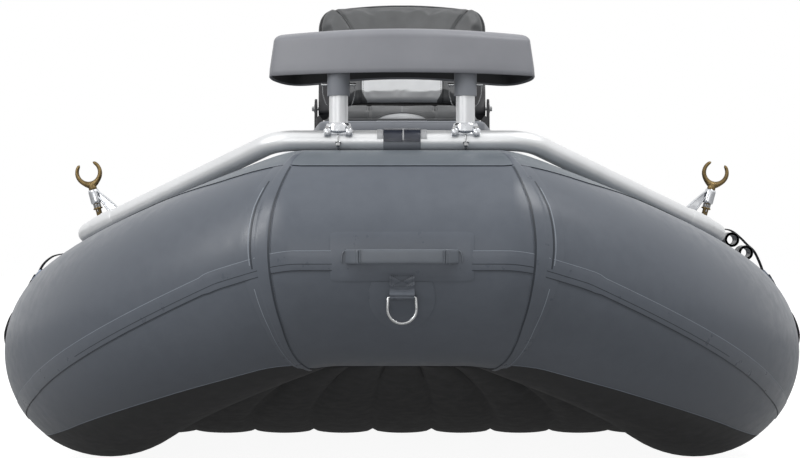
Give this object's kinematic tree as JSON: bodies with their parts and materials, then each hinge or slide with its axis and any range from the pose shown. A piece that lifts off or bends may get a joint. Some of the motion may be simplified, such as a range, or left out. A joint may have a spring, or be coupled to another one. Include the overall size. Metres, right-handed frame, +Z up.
{
  "type": "fishing raft",
  "caption": "Inflatable raft with upturned ends, bent-pipe frame, thigh brace, swivelling folding seats, oarlocks on cast stands and strap-down rings.",
  "frame": {"origin": "on the ground under the middle of the hull", "axes": "+Z up, bow towards -Y, port towards +X"},
  "size_m": [1.882, 4.018, 1.126],
  "materials": {
    "bow_chamber": "semi-gloss coated fabric",
    "stern_chamber": "semi-gloss coated fabric",
    "port_chamber": "semi-gloss coated fabric",
    "starboard_chamber": "semi-gloss coated fabric",
    "floor_chamber": "matt coated fabric",
    "bow_ring_patch": "semi-gloss coated fabric",
    "stern_ring_patch": "semi-gloss coated fabric",
    "bow_handle": "satin",
    "stern_handle": "satin",
    "front_crossbar": "bright anodised",
    "rear_crossbar": "bright anodised",
    "rail_port": "bright anodised",
    "rail_starboard": "bright anodised",
    "front_seat_bar_fore": "bright anodised",
    "front_seat_bar_aft": "bright anodised",
    "rower_seat_bar_fore": "bright anodised",
    "rower_seat_bar_aft": "bright anodised",
    "foot_bar": "bright anodised",
    "hold_down_wrap": "semi-gloss coated fabric",
    "brace_shell": "fine texture",
    "brace_post_port": "bright anodised",
    "brace_post_starboard": "bright anodised",
    "front_seat_plate": "bright anodised",
    "rower_seat_plate": "bright anodised",
    "front_seat_swivel": "stainless, polished",
    "rower_seat_swivel": "stainless, polished",
    "oar_stand_port": "polished casting",
    "oar_stand_starboard": "polished casting",
    "strap_bow_port": "woven webbing",
    "strap_bow_starboard": "woven webbing",
    "strap_stern_port": "woven webbing",
    "strap_stern_starboard": "woven webbing",
    "side_ring_bow_port": "stainless, polished",
    "side_ring_bow_starboard": "stainless, polished",
    "side_ring_stern_port": "stainless, polished",
    "side_ring_stern_starboard": "stainless, polished",
    "side_patch_bow_port": "semi-gloss coated fabric",
    "side_patch_bow_starboard": "semi-gloss coated fabric",
    "side_patch_stern_port": "semi-gloss coated fabric",
    "side_patch_stern_starboard": "semi-gloss coated fabric",
    "rod_rings": "satin",
    "front_seat_base": "fine texture",
    "front_seat_cushion": "grained marine vinyl",
    "front_back_shell": "satin",
    "front_back_pad": "grained marine vinyl",
    "rower_seat_base": "fine texture",
    "rower_seat_cushion": "grained marine vinyl",
    "rower_back_shell": "satin",
    "rower_back_pad": "grained marine vinyl",
    "oarlock_port": "cast bronze, dull",
    "oarlock_starboard": "cast bronze, dull",
    "bow_d_ring": "stainless, polished",
    "stern_d_ring": "stainless, polished",
    "hitch_pin_port": "stainless, polished",
    "hitch_pin_starboard": "stainless, polished",
    "valve_cap_bow": "satin",
    "valve_cap_stern": "satin",
    "valve_cap_port": "satin",
    "valve_cap_starboard": "satin"
  },
  "bodies": {
    "raft": {"bow_chamber": "bow_chamber", "stern_chamber": "stern_chamber", "port_chamber": "port_chamber", "starboard_chamber": "starboard_chamber", "floor_chamber": "floor_chamber", "bow_ring_patch": "bow_ring_patch", "stern_ring_patch": "stern_ring_patch", "bow_handle": "bow_handle", "stern_handle": "stern_handle", "front_crossbar": "front_crossbar", "rear_crossbar": "rear_crossbar", "rail_port": "rail_port", "rail_starboard": "rail_starboard", "front_seat_bar_fore": "front_seat_bar_fore", "front_seat_bar_aft": "front_seat_bar_aft", "rower_seat_bar_fore": "rower_seat_bar_fore", "rower_seat_bar_aft": "rower_seat_bar_aft", "foot_bar": "foot_bar", "hold_down_wrap": "hold_down_wrap", "brace_shell": "brace_shell", "brace_post_port": "brace_post_port", "brace_post_starboard": "brace_post_starboard", "front_seat_plate": "front_seat_plate", "rower_seat_plate": "rower_seat_plate", "front_seat_swivel": "front_seat_swivel", "rower_seat_swivel": "rower_seat_swivel", "oar_stand_port": "oar_stand_port", "oar_stand_starboard": "oar_stand_starboard", "strap_bow_port": "strap_bow_port", "strap_bow_starboard": "strap_bow_starboard", "strap_stern_port": "strap_stern_port", "strap_stern_starboard": "strap_stern_starboard", "side_ring_bow_port": "side_ring_bow_port", "side_ring_bow_starboard": "side_ring_bow_starboard", "side_ring_stern_port": "side_ring_stern_port", "side_ring_stern_starboard": "side_ring_stern_starboard", "side_patch_bow_port": "side_patch_bow_port", "side_patch_bow_starboard": "side_patch_bow_starboard", "side_patch_stern_port": "side_patch_stern_port", "side_patch_stern_starboard": "side_patch_stern_starboard", "rod_rings": "rod_rings"},
    "front_seat": {"front_seat_base": "front_seat_base", "front_seat_cushion": "front_seat_cushion"},
    "front_back": {"front_back_shell": "front_back_shell", "front_back_pad": "front_back_pad"},
    "rower_seat": {"rower_seat_base": "rower_seat_base", "rower_seat_cushion": "rower_seat_cushion"},
    "rower_back": {"rower_back_shell": "rower_back_shell", "rower_back_pad": "rower_back_pad"},
    "oarlock_port": {"oarlock_port": "oarlock_port"},
    "oarlock_starboard": {"oarlock_starboard": "oarlock_starboard"},
    "bow_d_ring": {"bow_d_ring": "bow_d_ring"},
    "stern_d_ring": {"stern_d_ring": "stern_d_ring"},
    "hitch_pin_port": {"hitch_pin_port": "hitch_pin_port"},
    "hitch_pin_starboard": {"hitch_pin_starboard": "hitch_pin_starboard"},
    "valve_cap_bow": {"valve_cap_bow": "valve_cap_bow"},
    "valve_cap_stern": {"valve_cap_stern": "valve_cap_stern"},
    "valve_cap_port": {"valve_cap_port": "valve_cap_port"},
    "valve_cap_starboard": {"valve_cap_starboard": "valve_cap_starboard"}
  },
  "joints": [
    {"name": "front_seat_swivel_turn", "type": "hinge", "parent": "raft", "child": "front_seat", "pos_m": [0, -0.96, 0.7437], "axis": [0, 0, 1], "continuous": true},
    {"name": "front_back_fold", "type": "hinge", "parent": "front_seat", "child": "front_back", "pos_m": [0, -0.79, 0.841], "axis": [1, 0, 0], "range_deg": [0, 90]},
    {"name": "rower_seat_swivel_turn", "type": "hinge", "parent": "raft", "child": "rower_seat", "pos_m": [0, 0, 0.7437], "axis": [0, 0, 1], "continuous": true},
    {"name": "rower_back_fold", "type": "hinge", "parent": "rower_seat", "child": "rower_back", "pos_m": [0, 0.17, 0.841], "axis": [1, 0, 0], "range_deg": [0, 90]},
    {"name": "oarlock_port_turn", "type": "hinge", "parent": "raft", "child": "oarlock_port", "pos_m": [0.83284, -0.46, 0.64777], "axis": [0.2588, 0, 0.9659], "continuous": true},
    {"name": "oarlock_starboard_turn", "type": "hinge", "parent": "raft", "child": "oarlock_starboard", "pos_m": [-0.83284, -0.46, 0.64777], "axis": [-0.2588, 0, 0.9659], "continuous": true},
    {"name": "bow_d_ring_swing", "type": "hinge", "parent": "raft", "child": "bow_d_ring", "pos_m": [0, -1.97416, 0.395], "axis": [-1, 0, 0], "range_deg": [0, 110]},
    {"name": "stern_d_ring_swing", "type": "hinge", "parent": "raft", "child": "stern_d_ring", "pos_m": [0, 1.97416, 0.395], "axis": [1, 0, 0], "range_deg": [0, 110]},
    {"name": "hitch_pin_port_bail", "type": "hinge", "parent": "raft", "child": "hitch_pin_port", "pos_m": [0.128, -1.745, 0.8185], "axis": [1, 0, 0], "range_deg": [0, 45]},
    {"name": "hitch_pin_starboard_bail", "type": "hinge", "parent": "raft", "child": "hitch_pin_starboard", "pos_m": [-0.128, -1.745, 0.8185], "axis": [1, 0, 0], "range_deg": [0, 45]},
    {"name": "valve_cap_bow_turn", "type": "hinge", "parent": "raft", "child": "valve_cap_bow", "pos_m": [0, -1.60766, 0.62484], "axis": [0, 0.7071, 0.7071], "range_deg": [0, 90]},
    {"name": "valve_cap_stern_turn", "type": "hinge", "parent": "raft", "child": "valve_cap_stern", "pos_m": [0, 1.60766, 0.62484], "axis": [0, -0.7071, 0.7071], "range_deg": [0, 90]},
    {"name": "valve_cap_port_turn", "type": "hinge", "parent": "raft", "child": "valve_cap_port", "pos_m": [0.50916, 0, 0.42184], "axis": [-0.7071, 0, 0.7071], "range_deg": [0, 90]},
    {"name": "valve_cap_starboard_turn", "type": "hinge", "parent": "raft", "child": "valve_cap_starboard", "pos_m": [-0.50916, 0, 0.42184], "axis": [0.7071, 0, 0.7071], "range_deg": [0, 90]}
  ]
}
